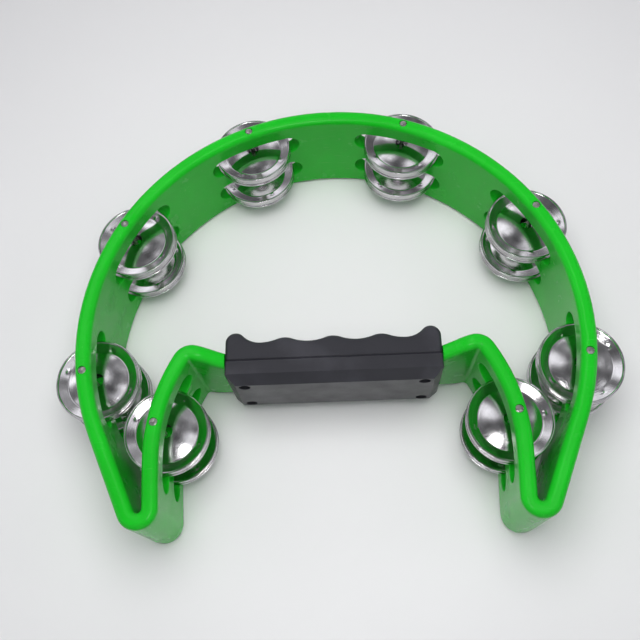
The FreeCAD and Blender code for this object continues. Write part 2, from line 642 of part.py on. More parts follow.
measure(wave, "outer_groove_too", "Dims.groove_outer", "DistanceX", -1, 1, near_arc, 3, groove_x)
measure(wave, "groove_floor", "Dims.groove_depth", "DistanceY", end_arc, 1, -1, 1, dim["groove_depth"])
measure(wave, "crest_round", "Dims.crest_radius", "Radius", crest_arc, crest_r)
measure(wave, "crest_x", "2 * Dims.groove_pitch", "DistanceX", -1, 1, crest_arc, 3, 2 * pitch)
measure(wave, "crest_y", "Dims.crest_depth + Dims.crest_radius", "DistanceY", crest_arc, 3, -1, 1, -crest_y)
measure(wave, "middle_round", "Dims.crest_radius", "Radius", last_arc, crest_r)
measure(wave, "middle_y", "Dims.crest_depth + Dims.crest_radius", "DistanceY", last_arc, 3, -1, 1, -crest_y)
rise_text = "(Dims.crest_depth + Dims.crest_radius - Dims.groove_depth)"
mid_text = "(Dims.groove_pitch ^ 2 + %s ^ 2 - Dims.crest_radius ^ 2) / (2 * (Dims.crest_radius - %s))"
measure(wave, "mid_groove", mid_text % (rise_text, rise_text), "Radius", mid_arc, mid_r)
pad(finger, "finger_block", wave, "Dims.grip_depth")
doc.recompute()


def on_wave(edge):
    box = edge.BoundBox
    return box.ZLength < 1e-6 and box.YMax > SEAM + 1 and box.XMax > 1e-3


dress(finger, "finger_rounding", "Fillet", finger.Tip, edges_where(finger.Tip.Shape, on_wave),
      dim["finger_rounding"], "Dims.finger_rounding")
dress(finger, "finger_seam_bevel", "Chamfer", finger.Tip, edges_where(finger.Tip.Shape, on_seam),
      dim["seam_bevel"], "Dims.seam_bevel")
hollow_out(finger, False, BAR_BACK - SEAM + GAP, floor_y - SEAM - dim["grip_wall"], "screw_pilot", 10.5)
mirror_whole(finger)


# ---------------------------------------------------------------- turned pieces
def turned_piece(body, name, points, names):
    """A solid turned about the body's Z axis from straight runs between (radius, height) points."""
    sketch = new_sketch(body, name + "_profile", "XZ_Plane")
    runs = [line(sketch, V(*points[i], 0), V(*points[(i + 1) % len(points)], 0)) for i in range(len(points))]
    for i, run in enumerate(runs):
        relate(sketch, "Coincident", run, 2, runs[(i + 1) % len(runs)], 1)
    for i, (x_text, z_text) in enumerate(names):
        measure(sketch, "r%d" % i, x_text, "DistanceX", -1, 1, runs[i], 1, points[i][0])
        measure(sketch, "h%d" % i, z_text, "DistanceY", -1, 1, runs[i], 1, points[i][1])
    spin = body.newObject("PartDesign::Revolution", name)
    spin.Profile = sketch
    spin.ReferenceAxis = (sketch, ["V_Axis"])
    spin.Angle = 360.0
    doc.recompute()
    return spin


def domed(radius, height, level, radius_text, level_text, steps=4):
    """Points of a low dome over a head, from its rim to its crown, with their formulas."""
    points, texts = [], []
    for k in range(steps + 1):
        share = math.sin(math.radians(90 * (steps - k) / steps))
        lift = math.cos(math.radians(90 * (steps - k) / steps)) * height
        points.append((radius * share, level + lift))
        texts.append(("%s * %.5f" % (radius_text, share), "%s + %.5f" % (level_text, lift)))
    return points, texts


sides = {"left": -1, "right": 1}
pin_r = dim["pin_diameter"] / 2
head_r = dim["pin_head"] / 2
head_z = dim["band_height"] - dim["pin_recess_depth"]
for side_name, sign in sides.items():
    for key, (place, angle, x_text, y_text) in stations.items():
        pin = new_body("pin_%s_%s" % (side_name, key), "%d * (%s)" % (sign, x_text), y_text)
        dome, dome_text = domed(head_r, 0.5, head_z + 0.25, "Dims.pin_head / 2",
                                "Dims.band_height - Dims.pin_recess_depth + 0.25")
        points = [(0, 0.5), (pin_r - 0.4, 0.5), (pin_r, 0.9), (pin_r, head_z), (head_r, head_z)] + dome
        head_text = "Dims.band_height - Dims.pin_recess_depth"
        texts = [
            ("0", "0.5"), ("Dims.pin_diameter / 2 - 0.4", "0.5"), ("Dims.pin_diameter / 2", "0.9"),
            ("Dims.pin_diameter / 2", head_text), ("Dims.pin_head / 2", head_text),
        ] + dome_text
        turned_piece(pin, "pin_%s_%s_turned" % (side_name, key), points, texts)

# grip screws: low domed heads with a cross recess, all pointing from the palm to the fingers
screw_bodies = []
shank_r = dim["screw_shank"] / 2
cap_r = dim["screw_head"] / 2
CAP = 1.8
TIP = 20.8
screw_y = PALM + dim["screw_recess_depth"] - CAP
for side_name, sign in sides.items():
    for tag, up in (("under", -1), ("over", 1)):
        name = "grip_screw_%s_%s" % (side_name, tag)
        screw = new_body(name, "%d * Dims.screw_place * 1 mm" % sign, "%.3f mm" % screw_y)
        level = "(Dims.grip_floor + Dims.grip_depth / 2 %s Dims.screw_spread) * 1 mm"
        screw.setExpression("Placement.Base.z", level % ("+" if up > 0 else "-"))
        screw.Placement.Rotation = FreeCAD.Rotation(V(1, 0, 0), -90)
        points = [(0, 0), (cap_r * 0.6, 0.25), (cap_r * 0.9, 0.7), (cap_r, 1.2), (cap_r, CAP), (shank_r, CAP),
                  (shank_r, TIP - 1.5), (0.3, TIP), (0, TIP)]
        texts = [
            ("0", "0"), ("Dims.screw_head * 0.3", "0.25"), ("Dims.screw_head * 0.45", "0.7"),
            ("Dims.screw_head / 2", "1.2"), ("Dims.screw_head / 2", "1.8"),
            ("Dims.screw_shank / 2", "1.8"), ("Dims.screw_shank / 2", "19.3"), ("0.3", "20.8"), ("0", "20.8"),
        ]
        turned_piece(screw, name + "_turned", points, texts)
        for number, (wide, tall) in enumerate(((1.5, 0.35), (0.35, 1.5))):
            cross = new_sketch(screw, "%s_cross%d_outline" % (name, number), "XY_Plane")
            rectangle(cross, (-wide, str(-wide)), (wide, str(wide)), (-tall, str(-tall)), (tall, str(tall)))
            pocket(screw, "%s_cross%d" % (name, number), cross, 1.1, reverse=True)
        screw_bodies.append(screw)
screws = doc.addObject("Part::Compound", "grip_screws")
screws.Label = "grip_screws"
screws.Links = screw_bodies
doc.recompute()

# ---------------------------------------------------------------- jingles
# One pressed disc: a hole, a dome that falls to a valley, and a ring that flares up to a rolled rim.
# The lowest point of the valley's underside is at height zero and the rim is at the top.
sheet_h = dim["jingle_sheet"] / 2
valley_r = dim["jingle_valley"]
bend = dim["jingle_bend"]
ball = dim["jingle_dome"]
flare = dim["jingle_flare"]
bead_r = dim["jingle_bead"] / 2
hole_r = dim["jingle_hole"] / 2
lean = math.degrees(math.asin(valley_r / (ball + bend)))
valley = V(valley_r, bend + sheet_h, 0)
ball_centre = V(0, valley.y - (ball + bend) * math.cos(math.radians(lean)), 0)
ring_start = valley + direction(flare - 90) * bend
bead_x = dim["jingle_diameter"] / 2 - bead_r
bead = ring_start + direction(flare) * ((bead_x - ring_start.x) / math.cos(math.radians(flare)))
jingle_height = bead.y + bead_r
meet = math.degrees(math.asin(sheet_h / bead_r))
back = direction(flare) * (bead_r * math.cos(math.radians(meet)))
skin = left_of(flare) * sheet_h


def make_jingle(name, x_text, y_text, level, tilt, flipped):
    body = new_body(name, x_text, y_text)
    sketch = new_sketch(body, name + "_profile", "XZ_Plane")
    over, under = ball + sheet_h, ball - sheet_h
    dome_over = arc(sketch, ball_centre, over, 90 - lean, math.degrees(math.acos(hole_r / over)))
    bend_over = arc(sketch, valley, bend - sheet_h, 270 - lean, 270 + flare)
    ring_over = line(sketch, ring_start + skin, bead - back + skin)
    rim = arc(sketch, bead, bead_r, flare - 180 + meet, flare + 180 - meet)
    ring_under = line(sketch, bead - back - skin, ring_start - skin)
    bend_under = arc(sketch, valley, bend + sheet_h, 270 - lean, 270 + flare)
    dome_under = arc(sketch, ball_centre, under, 90 - lean, math.degrees(math.acos(hole_r / under)))
    low = ball_centre.y + math.sqrt(under ** 2 - hole_r ** 2)
    high = ball_centre.y + math.sqrt(over ** 2 - hole_r ** 2)
    hole = line(sketch, V(hole_r, low, 0), V(hole_r, high, 0))
    relate(sketch, "Coincident", hole, 2, dome_over, 2)
    relate(sketch, "Tangent", dome_over, 1, bend_over, 1)
    relate(sketch, "Tangent", bend_over, 2, ring_over, 1)
    relate(sketch, "Coincident", ring_over, 2, rim, 2)
    relate(sketch, "Coincident", rim, 1, ring_under, 1)
    relate(sketch, "Tangent", ring_under, 2, bend_under, 2)
    relate(sketch, "Tangent", bend_under, 1, dome_under, 1)
    relate(sketch, "Coincident", dome_under, 2, hole, 1)
    relate(sketch, "Coincident", dome_over, 3, dome_under, 3)
    relate(sketch, "Coincident", bend_over, 3, bend_under, 3)
    relate(sketch, "PointOnObject", dome_over, 3, -2)
    relate(sketch, "Vertical", hole)
    relate(sketch, "Parallel", ring_over, ring_under)
    relate(sketch, "Equal", ring_over, ring_under)
    measure(sketch, "hole", "Dims.jingle_hole / 2", "DistanceX", -1, 1, hole, 1, hole_r)
    measure(sketch, "ball_over", "Dims.jingle_dome + Dims.jingle_sheet / 2", "Radius", dome_over, over)
    measure(sketch, "ball_under", "Dims.jingle_dome - Dims.jingle_sheet / 2", "Radius", dome_under, under)
    measure(sketch, "bend", "Dims.jingle_bend + Dims.jingle_sheet / 2", "Radius", bend_under, bend + sheet_h)
    measure(sketch, "valley", "Dims.jingle_valley", "DistanceX", -1, 1, bend_under, 3, valley_r)
    measure(sketch, "valley_up", "Dims.jingle_bend + Dims.jingle_sheet / 2", "DistanceY",
            -1, 1, bend_under, 3, valley.y)
    measure(sketch, "flare", "Dims.jingle_flare", "Angle", ring_over, math.radians(flare))
    measure(sketch, "bead", "Dims.jingle_bead / 2", "Radius", rim, bead_r)
    measure(sketch, "reach", "(Dims.jingle_diameter - Dims.jingle_bead) / 2", "DistanceX",
            -1, 1, rim, 3, bead_x)
    spin = body.newObject("PartDesign::Revolution", name + "_pressed")
    spin.Profile = sketch
    spin.ReferenceAxis = (sketch, ["V_Axis"])
    spin.Angle = 360.0
    body.Placement.Base.z = level
    body.Placement.Rotation = tilt * FreeCAD.Rotation(V(1, 0, 0), 180 if flipped else 0)


for side_name, sign in sides.items():
    for key, (place, angle, x_text, y_text) in stations.items():
        for row_name in ("low", "high"):
            name = "jingle_%s_%s_%s" % (side_name, key, row_name)
            shift = "Dims.shift_%s_%s * 1 mm" % (side_name, key)
            x_rest = "%d * (%s + %s * cos(%.4f deg))" % (sign, x_text, shift, angle)
            y_rest = "%s + %s * sin(%.4f deg)" % (y_text, shift, angle)
            outward = V(sign * direction(angle).x, direction(angle).y, 0)
            tilt = FreeCAD.Rotation(V(0, 0, 1).cross(outward), dim["lean_%s_%s" % (side_name, key)])
            slot_floor = dim["row_" + row_name] - dim["slot_height"] / 2
            lower_level = slot_floor + dim["jingle_rest"] + jingle_height
            make_jingle(name + "_lower", x_rest, y_rest, lower_level, tilt, True)
            make_jingle(name + "_upper", x_rest, y_rest, lower_level + GAP, tilt, False)
doc.recompute()

# ---------------------------------------------------------------- checks and export
for thing in doc.Objects:
    assert "Invalid" not in thing.State and "Error" not in thing.State, thing.Name
nodes = [thing for thing in doc.Objects if thing.TypeId == "PartDesign::Body" and thing not in screw_bodies]
nodes.append(screws)
os.makedirs("parts", exist_ok=True)
for node in nodes:
    shape = node.Shape
    assert not shape.isNull() and shape.isValid(), node.Label
    shape.exportStep("parts/%s.step" % node.Label)
print(len(nodes), "nodes written")
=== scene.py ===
"""Half-moon tambourine: finishes for the moulded band and grip, pressed jingles, and a studio stage."""

import json
import math
import random

import bpy
import numpy as np
from mathutils import Matrix, Vector

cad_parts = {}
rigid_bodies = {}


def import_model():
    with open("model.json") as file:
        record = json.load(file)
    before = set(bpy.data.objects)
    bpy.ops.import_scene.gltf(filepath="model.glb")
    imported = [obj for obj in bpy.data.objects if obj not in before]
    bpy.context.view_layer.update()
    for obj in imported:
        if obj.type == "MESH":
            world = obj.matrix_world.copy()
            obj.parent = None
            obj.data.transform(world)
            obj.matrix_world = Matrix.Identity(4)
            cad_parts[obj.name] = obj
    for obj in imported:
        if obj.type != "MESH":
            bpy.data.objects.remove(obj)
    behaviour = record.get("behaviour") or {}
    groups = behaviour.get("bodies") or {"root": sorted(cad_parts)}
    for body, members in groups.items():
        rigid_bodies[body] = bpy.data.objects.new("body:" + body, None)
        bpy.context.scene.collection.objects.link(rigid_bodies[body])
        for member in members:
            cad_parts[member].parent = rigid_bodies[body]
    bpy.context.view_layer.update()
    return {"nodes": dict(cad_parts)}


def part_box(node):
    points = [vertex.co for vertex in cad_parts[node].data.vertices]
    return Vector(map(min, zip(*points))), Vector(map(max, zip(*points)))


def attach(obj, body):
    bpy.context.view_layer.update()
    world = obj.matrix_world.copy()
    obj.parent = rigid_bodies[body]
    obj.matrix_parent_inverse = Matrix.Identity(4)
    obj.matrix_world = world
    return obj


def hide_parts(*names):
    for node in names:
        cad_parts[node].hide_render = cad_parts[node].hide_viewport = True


bl_info = {
    "name": "Half-moon tambourine",
    "version": (1, 0, 0),
    "blender": (4, 5, 0),
    "location": "3D View > Sidebar > Tambourine",
    "description": "Finishes, jingles and stage for a half-moon tambourine",
    "category": "Object",
}

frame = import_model()

MM = 0.001
JINGLE_NODES = sorted(name for name in frame["nodes"] if name.startswith("jingle_"))
PIN_NODES = sorted(name for name in frame["nodes"] if name.startswith("pin_"))
SHELL_NODES = ["grip_palm_shell", "grip_finger_shell"]
# the first jingle lies nearly flat, so its box gives the radius of them all
FLAT_LOW, FLAT_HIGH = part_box(JINGLE_NODES[0])
JINGLE_RADIUS = (FLAT_HIGH.x - FLAT_LOW.x) / 2

# how finely a jingle is divided: round the disc, and along the parts of its section
RIM_SEGMENTS = 128
DOME_STEPS = 12
BEND_STEPS = 5
RING_STEPS = 8
BEAD_STEPS = 12
WELD_DISTANCE = 0.00001
SMOOTH_ANGLE = math.radians(50)

# the small marks pressed into the ring of each jingle, and the seed of the jingles' spins
PIP_COUNT = 4
PIP_START = 20
PIP_OUTSIDE_VALLEY = 1.9 * MM
SPIN_SEED = 7

# steel colours of the small parts
PIN_COLOUR = (0.66, 0.65, 0.62)
SCREW_COLOUR = (0.10, 0.10, 0.105)

# brightness of the room by height, by patch and from front to back, each as (position, level)
# red and green are a little below blue, by the cool share
ROOM_HEIGHTS = ((0.0, 0.22), (0.35, 0.44), (0.6, 0.46), (1.0, 0.40))
ROOM_PATCHES = ((0.38, 0.22), (0.50, 0.70), (0.59, 3.0))
ROOM_FRONT = ((0.0, 0.65), (0.3, 1.0), (1.0, 1.0))
ROOM_PATCH_SCALE = 2.6
ROOM_PATCH_DETAIL = 1.5
ROOM_COOL_SHARE = 0.985

# each lamp: name, shape, place, point it faces, watts, size
LAMPS = (
    ("overhead", "DISK", (0.0, 0.0, 0.58), (0, 0, 0), 2.75, 0.45),
    ("left_wall", "SQUARE", (-1.2, 0.1, 0.8), (0, 0, 0), 1.0, 0.6),
    ("right_wall", "SQUARE", (1.2, 0.0, 0.8), (0, 0, 0), 1.0, 0.6),
)
RING_LAMP_OUTER = 55 * MM
RING_LAMP_INNER = 28 * MM
RING_LAMP_STRENGTH = 8.0
RING_LAMP_SEGMENTS = 48
FLOOR_DIVISIONS = 8
SENSOR_WIDTH = 36.0
CLIP_START = 0.01


# ---------------------------------------------------------------- settings a user would change
class TambourineFinish(bpy.types.PropertyGroup):
    band_colour: bpy.props.FloatVectorProperty(
        name="Band colour", description="Green of the moulded band",
        subtype="COLOR", size=3, min=0, max=1, default=(0.010, 0.46, 0.018))
    band_deep: bpy.props.FloatVectorProperty(
        name="Band shade", description="Slightly deeper green in the cloudy variation",
        subtype="COLOR", size=3, min=0, max=1, default=(0.006, 0.38, 0.012))
    grip_colour: bpy.props.FloatVectorProperty(
        name="Grip colour", description="Black of the grip shells",
        subtype="COLOR", size=3, min=0, max=1, default=(0.014, 0.014, 0.019))
    steel_colour: bpy.props.FloatVectorProperty(
        name="Jingle colour", description="Nickel-plated steel of the jingles",
        subtype="COLOR", size=3, min=0, max=1, default=(0.80, 0.79, 0.80))


class TambourineJingle(bpy.types.PropertyGroup):
    sheet: bpy.props.FloatProperty(
        name="Sheet", description="Thickness of the pressed sheet",
        default=0.6 * MM, unit="LENGTH")
    hole_radius: bpy.props.FloatProperty(
        name="Hole radius", description="Radius of the centre hole",
        default=3.5 * MM, unit="LENGTH")
    valley_radius: bpy.props.FloatProperty(
        name="Valley radius", description="Radius of the valley between dome and ring",
        default=15.9 * MM, unit="LENGTH")
    dome_radius: bpy.props.FloatProperty(
        name="Dome ball radius", description="Ball radius of the dome",
        default=46.0 * MM, unit="LENGTH")
    bend_radius: bpy.props.FloatProperty(
        name="Bend radius", description="Bend radius in the valley",
        default=1.6 * MM, unit="LENGTH")
    flare: bpy.props.FloatProperty(
        name="Flare", description="Slope of the outer ring",
        default=math.radians(22), subtype="ANGLE")
    bead: bpy.props.FloatProperty(
        name="Rolled rim", description="Thickness of the rolled rim",
        default=1.0 * MM, unit="LENGTH")
    pip_depth: bpy.props.FloatProperty(
        name="Pip depth", description="Depth of the four small pressed marks",
        default=0.45 * MM, unit="LENGTH")
    pip_size: bpy.props.FloatProperty(
        name="Pip size", description="Reach of a pressed mark round its centre",
        default=1.7 * MM, unit="LENGTH")


class TambourineStage(bpy.types.PropertyGroup):
    floor_size: bpy.props.FloatProperty(
        name="Floor size", description="Side of the square floor",
        default=6.0, unit="LENGTH")
    floor_colour: bpy.props.FloatVectorProperty(
        name="Floor colour", description="Pale floor",
        subtype="COLOR", size=3, min=0, max=1, default=(0.75, 0.75, 0.755))
    camera_place: bpy.props.FloatVectorProperty(
        name="Camera place", description="Where the camera stands",
        subtype="TRANSLATION", size=3, default=(0.00933, -0.16460, 0.41477))
    camera_turn: bpy.props.FloatVectorProperty(
        name="Camera turn", description="How the camera is turned",
        subtype="EULER", size=3, default=(0.388, 0.052, -0.023))
    camera_lens: bpy.props.FloatProperty(
        name="Lens", description="Focal length on a 36 mm sensor",
        default=43.2, min=10, max=200)


# ---------------------------------------------------------------- material helpers
class Nodes:
    """Short ways to add and join shader nodes."""

    def __init__(self, name):
        self.material = bpy.data.materials.new(name)
        self.material.use_nodes = True
        self.tree = self.material.node_tree
        self.shader = self.tree.nodes["Principled BSDF"]
        self.place = self.add("ShaderNodeTexCoord").outputs["Object"]

    def add(self, kind, **settings):
        node = self.tree.nodes.new(kind)
        for key, value in settings.items():
            setattr(node, key, value)
        return node

    def join(self, source, target):
        self.tree.links.new(source, target)

    def noise(self, scale, detail=3.0, roughness=0.5, stretch=(1, 1, 1)):
        mapping = self.add("ShaderNodeMapping")
        mapping.inputs["Scale"].default_value = stretch
        self.join(self.place, mapping.inputs["Vector"])
        noise = self.add("ShaderNodeTexNoise")
        noise.inputs["Scale"].default_value = scale
        noise.inputs["Detail"].default_value = detail
        noise.inputs["Roughness"].default_value = roughness
        self.join(mapping.outputs["Vector"], noise.inputs["Vector"])
        return noise.outputs["Fac"]

    def ramp(self, value, low, high, start=0.0, end=1.0):
        """Value mapped from start..end to low..high, both ends held."""
        node = self.add("ShaderNodeMapRange")
        node.inputs["From Min"].default_value = start
        node.inputs["From Max"].default_value = end
        node.inputs["To Min"].default_value = low
        node.inputs["To Max"].default_value = high
        self.join(value, node.inputs["Value"])
        return node.outputs["Result"]

    def math(self, operation, one, other):
        node = self.add("ShaderNodeMath", operation=operation)
        for socket, value in zip(node.inputs, (one, other)):
            if isinstance(value, (int, float)):
                socket.default_value = value
            else:
                self.join(value, socket)
        return node.outputs["Value"]

    def blend(self, factor, one, other):
        node = self.add("ShaderNodeMix", data_type="RGBA")
        sockets = [s for s in node.inputs if s.type == "RGBA"]
        self.join(factor, node.inputs["Factor"])
        for socket, value in zip(sockets, (one, other)):
            if hasattr(value, "links"):
                self.join(value, socket)
            else:
                socket.default_value = (*value, 1.0)
        return [s for s in node.outputs if s.type == "RGBA"][0]

    def bump(self, height, distance, strength=1.0, before=None):
        node = self.add("ShaderNodeBump")
        node.inputs["Strength"].default_value = strength
        node.inputs["Distance"].default_value = distance
        self.join(height, node.inputs["Height"])
        if before is not None:
            self.join(before, node.inputs["Normal"])
        return node.outputs["Normal"]

    def set(self, **values):
        for key, value in values.items():
            socket = self.shader.inputs[key.replace("_", " ")]
            if hasattr(value, "links"):
                self.join(value, socket)
            elif isinstance(value, tuple):
                socket.default_value = (*value, 1.0) if len(value) == 3 and socket.type == "RGBA" else value
            else:
                socket.default_value = value
        return self.material


def scratches(nodes, scale, seed_turn, share):
    """Thin straight hairlines, as 0..1, from a noise drawn out along one direction."""
    mapping = nodes.add("ShaderNodeMapping")
    mapping.inputs["Rotation"].default_value = seed_turn
    mapping.inputs["Scale"].default_value = (1.0, 26.0, 26.0)
    nodes.join(nodes.place, mapping.inputs["Vector"])
    noise = nodes.add("ShaderNodeTexNoise")
    noise.inputs["Scale"].default_value = scale
    noise.inputs["Detail"].default_value = 2.0
    nodes.join(mapping.outputs["Vector"], noise.inputs["Vector"])
    return nodes.ramp(noise.outputs["Fac"], 0.0, 1.0, 1.0 - share, 1.0 - share + 0.02)


def band_plastic(finish):
    """Glossy moulded green: cloudy colour, a faint orange-peel skin and hairline handling marks."""
    nodes = Nodes("green_plastic")
    cloud = nodes.noise(22.0, detail=4.0)
    colour = nodes.blend(nodes.ramp(cloud, 0.0, 1.0, 0.3, 0.7), finish.band_colour, finish.band_deep)
    peel = nodes.noise(420.0, detail=2.0)
    hair = scratches(nodes, 60.0, (0.3, 0.2, 0.9), 0.30)
    hair_two = scratches(nodes, 45.0, (1.1, 0.6, -0.5), 0.29)
    marks = nodes.math("MAXIMUM", hair, hair_two)
    gloss = nodes.ramp(nodes.noise(60.0, detail=5.0), 0.17, 0.30, 0.3, 0.7)
    gloss = nodes.math("ADD", gloss, nodes.math("MULTIPLY", marks, 0.10))
    skin = nodes.bump(peel, 0.00008, 0.35)
    skin = nodes.bump(marks, 0.00003, 0.5, before=skin)
    return nodes.set(
        Base_Color=colour, Roughness=gloss, Normal=skin, IOR=1.5, Specular_IOR_Level=0.17,
        Subsurface_Weight=0.12, Subsurface_Radius=(0.2, 1.0, 0.25), Subsurface_Scale=0.004,
        Coat_Weight=0.14, Coat_Roughness=0.07)


def grip_plastic(finish):
    """Black moulded shell: fine pebbled grain, soft sheen and a few paler rubbed patches."""
    nodes = Nodes("black_plastic")
    rub = nodes.noise(35.0, detail=6.0, roughness=0.6)
    worn = tuple(min(1.0, c * 1.9 + 0.006) for c in finish.grip_colour)
    colour = nodes.blend(nodes.ramp(rub, 0.0, 1.0, 0.52, 0.78), finish.grip_colour, worn)
    grain = nodes.noise(1500.0, detail=3.0)
    hair = scratches(nodes, 80.0, (0.2, 0.1, 0.5), 0.30)
    gloss = nodes.ramp(nodes.noise(90.0, detail=4.0), 0.34, 0.47, 0.3, 0.7)
    skin = nodes.bump(grain, 0.00010, 0.35)
    skin = nodes.bump(hair, 0.00004, 0.4, before=skin)
    return nodes.set(Base_Color=colour, Roughness=gloss, Normal=skin, Specular_IOR_Level=0.68)


def turned_steel(name, colour, low, high):
    """Small steel parts: fine turning marks round a vertical axis and uneven sheen."""
    nodes = Nodes(name)
    stain = nodes.noise(300.0, detail=4.0)
    dark = tuple(c * 0.72 for c in colour)
    shade = nodes.blend(nodes.ramp(stain, 0.0, 1.0, 0.35, 0.75), colour, dark)
    lines = nodes.noise(900.0, detail=2.0, stretch=(0.1, 0.1, 1.0))
    gloss = nodes.ramp(nodes.noise(500.0, detail=3.0), low, high, 0.3, 0.7)
    skin = nodes.bump(lines, 0.00003, 0.5)
    return nodes.set(Base_Color=shade, Metallic=1.0, Roughness=gloss, Normal=skin)


def jingle_steel(finish):
    """Bright plated sheet with marks of pressing that run round each disc, and light smudges."""
    nodes = Nodes("nickel_steel")
    rings_map = nodes.add("ShaderNodeUVMap", uv_map="round")
    stretch = nodes.add("ShaderNodeMapping")
    stretch.inputs["Scale"].default_value = (7.0, 260.0, 1.0)
    nodes.join(rings_map.outputs["UV"], stretch.inputs["Vector"])
    rings = nodes.add("ShaderNodeTexNoise")
    rings.inputs["Scale"].default_value = 1.0
    rings.inputs["Detail"].default_value = 4.0
    rings.inputs["Roughness"].default_value = 0.6
    nodes.join(stretch.outputs["Vector"], rings.inputs["Vector"])
    smudge = nodes.noise(110.0, detail=5.0, roughness=0.6)
    dull = tuple(c * 0.86 for c in finish.steel_colour)
    colour = nodes.blend(nodes.ramp(smudge, 0.0, 1.0, 0.4, 0.75), finish.steel_colour, dull)
    gloss = nodes.ramp(smudge, 0.08, 0.17, 0.35, 0.75)
    tangent = nodes.add("ShaderNodeTangent", direction_type="UV_MAP", uv_map="round")
    nodes.join(tangent.outputs["Tangent"], nodes.shader.inputs["Tangent"])
    skin = nodes.bump(rings.outputs["Fac"], 0.00003, 0.5)
    return nodes.set(Base_Color=colour, Metallic=1.0, Roughness=gloss, Anisotropic=0.55, Normal=skin)


def floor_paper(stage):
    """Pale smooth board with a very faint mottling."""
    nodes = Nodes("pale_board")
    cloud = nodes.noise(3.0, detail=6.0, roughness=0.55)
    darker = tuple(c * 0.975 for c in stage.floor_colour)
    colour = nodes.blend(nodes.ramp(cloud, 0.0, 1.0, 0.3, 0.7), stage.floor_colour, darker)
    grain = nodes.noise(1400.0, detail=2.0)
    skin = nodes.bump(grain, 0.00004, 0.3)
    return nodes.set(Base_Color=colour, Roughness=0.42, Specular_IOR_Level=0.35, Normal=skin)


def dress(node, material):
    """Give a CAD node one material in place of its own."""
    data = frame["nodes"][node].data
    data.materials.clear()
    data.materials.append(material)


def deselect_everything():
    for item in bpy.context.view_layer.objects:
        item.select_set(False)


# ---------------------------------------------------------------- jingles
def arc_points(centre, radius, start, end, count):
    """Count points on an arc after its start, with its end, as (radius, height)."""
    found = []
    for k in range(1, count + 1):
        angle = math.radians(start + (end - start) * k / count)
        found.append((centre[0] + radius * math.cos(angle), centre[1] + radius * math.sin(angle)))
    return found


def run_points(start, end, count):
    """Count points on a straight run after its start, with its end."""
    return [(start[0] + (end[0] - start[0]) * k / count, start[1] + (end[1] - start[1]) * k / count)
            for k in range(1, count + 1)]


def jingle_profile(size):
    """The closed section of the pressed sheet as (radius, height), starting at the hole's top edge."""
    half = size.sheet / 2
    flare = size.flare
    lean = math.degrees(math.asin(size.valley_radius / (size.dome_radius + size.bend_radius)))
    valley = (size.valley_radius, size.bend_radius + half)
    ball = (0.0, valley[1] - (size.dome_radius + size.bend_radius) * math.cos(math.radians(lean)))
    bead_radius = size.bead / 2
    ring_x = valley[0] + size.bend_radius * math.sin(flare)
    ring_z = valley[1] - size.bend_radius * math.cos(flare)
    reach = (JINGLE_RADIUS - bead_radius - ring_x) / math.cos(flare)
    bead = (ring_x + reach * math.cos(flare), ring_z + reach * math.sin(flare))
    slope = math.degrees(flare)
    meet = math.degrees(math.asin(half / bead_radius))
    over = size.dome_radius + half
    under = size.dome_radius - half
    top_angle = math.degrees(math.acos(size.hole_radius / over))
    low_angle = math.degrees(math.acos(size.hole_radius / under))
    points = [(size.hole_radius, ball[1] + over * math.sin(math.radians(top_angle)))]
    points += arc_points(ball, over, top_angle, 90 - lean, DOME_STEPS)
    points += arc_points(valley, size.bend_radius - half, 270 - lean, 270 + slope, BEND_STEPS)
    rim_angle = math.radians(slope + 180 - meet)
    rim_start = (bead[0] + bead_radius * math.cos(rim_angle), bead[1] + bead_radius * math.sin(rim_angle))
    points += run_points(points[-1], rim_start, RING_STEPS)
    points += arc_points(bead, bead_radius, slope + 180 - meet, slope - 180 + meet, BEAD_STEPS)
    foot = (valley[0] + (size.bend_radius + half) * math.sin(flare),
            valley[1] - (size.bend_radius + half) * math.cos(flare))
    points += run_points(points[-1], foot, RING_STEPS)
    points += arc_points(valley, size.bend_radius + half, 270 + slope, 270 - lean, BEND_STEPS)
    points += arc_points(ball, under, 90 - lean, low_angle, DOME_STEPS)
    points.append(points[0])
    return points


def press_jingle(size):
    """One jingle, its valley down and rim up, grown ring by ring from its hole and closed on itself."""
    points = jingle_profile(size)
    deselect_everything()
    start_radius, start_height = points[0]
    bpy.ops.mesh.primitive_circle_add(
        vertices=RIM_SEGMENTS, radius=start_radius, fill_type="NOTHING", location=(0, 0, start_height))
    piece = bpy.context.object
    piece.name = "jingle_pattern"
    bpy.ops.object.transform_apply(location=True, rotation=True, scale=True)
    bpy.ops.object.mode_set(mode="EDIT")
    bpy.ops.mesh.select_all(action="SELECT")
    for (old_radius, old_height), (radius, height) in zip(points, points[1:]):
        bpy.ops.mesh.extrude_edges_move()
        factor = radius / old_radius
        bpy.ops.transform.resize(value=(factor, factor, 1), center_override=(0, 0, 0))
        bpy.ops.transform.translate(value=(0, 0, height - old_height))
    bpy.ops.mesh.select_all(action="SELECT")
    bpy.ops.mesh.remove_doubles(threshold=WELD_DISTANCE)
    bpy.ops.mesh.normals_make_consistent(inside=False)
    press_pips(piece, size)
    bpy.ops.object.mode_set(mode="OBJECT")
    bpy.ops.object.shade_smooth_by_angle(angle=SMOOTH_ANGLE)
    lay_round_map(piece)
    return piece


